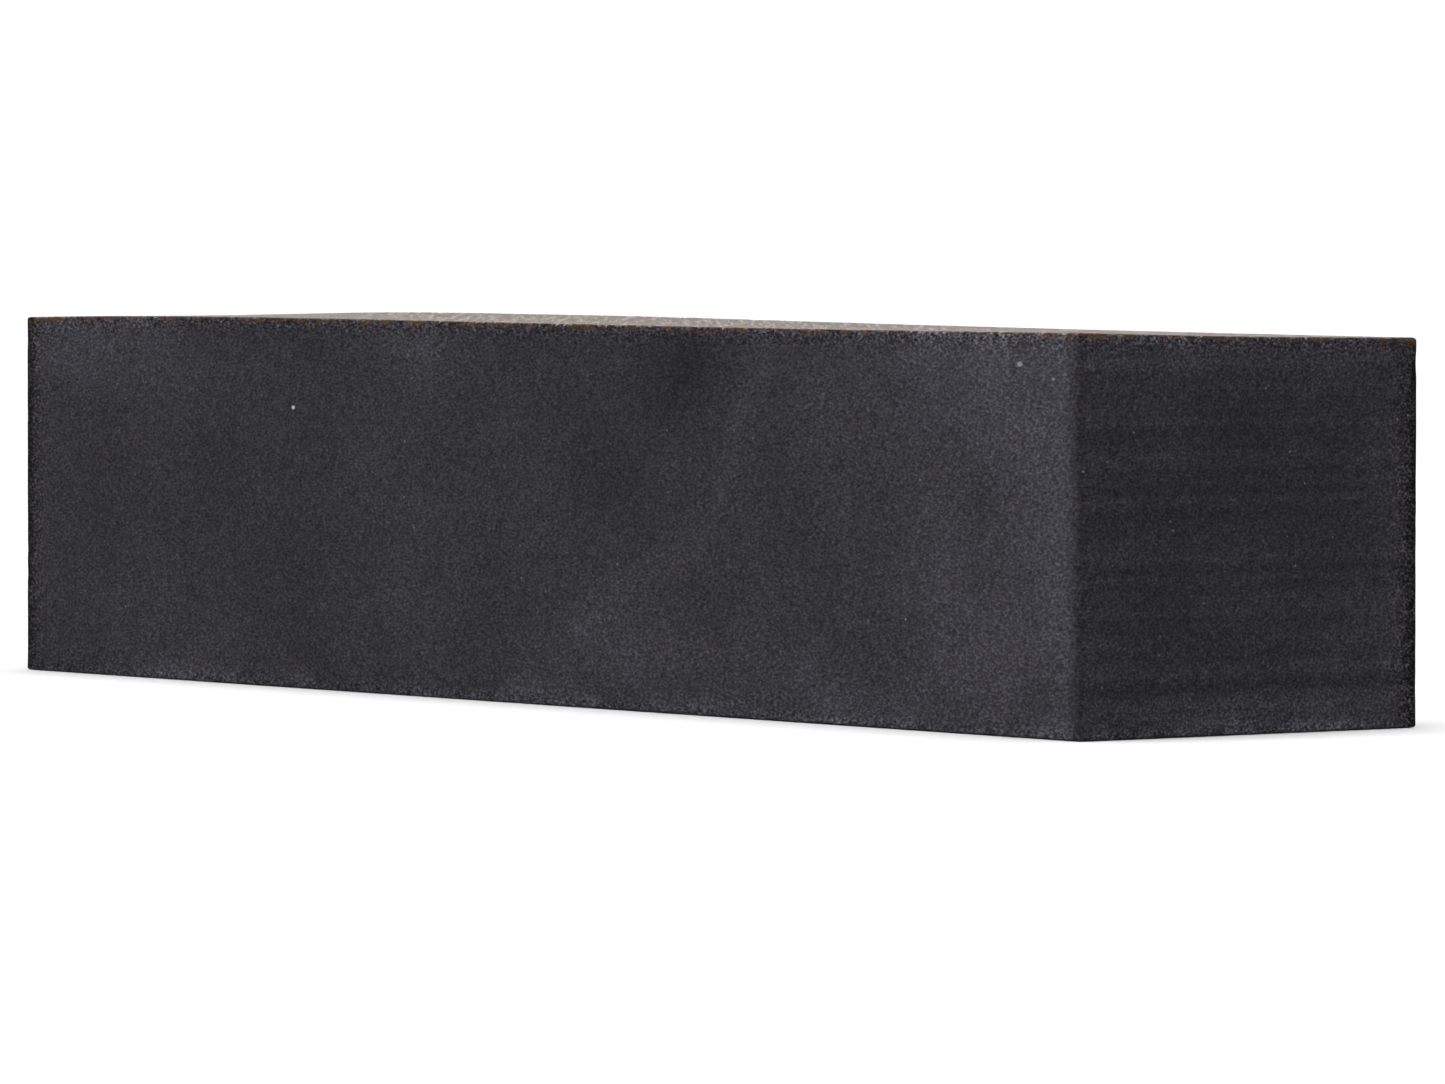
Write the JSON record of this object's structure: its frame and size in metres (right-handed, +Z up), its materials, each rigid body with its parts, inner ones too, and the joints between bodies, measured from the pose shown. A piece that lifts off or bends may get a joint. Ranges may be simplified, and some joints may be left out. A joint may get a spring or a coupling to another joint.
{
  "type": "sharpening whetstone",
  "caption": "Rectangular sharpening stone of fine black abrasive, flat on every face with eased edges, for honing carving knives and gouges.",
  "frame": {"origin": "middle of the flat face the block rests on", "axes": "+X along the length, +Y across the width, +Z up, out of the working face"},
  "size_m": [0.115, 0.028, 0.0254],
  "materials": {
    "stone": "matte, very fine grained, charcoal black"
  },
  "bodies": {
    "root": {"stone_block": "stone"}
  },
  "joints": []
}
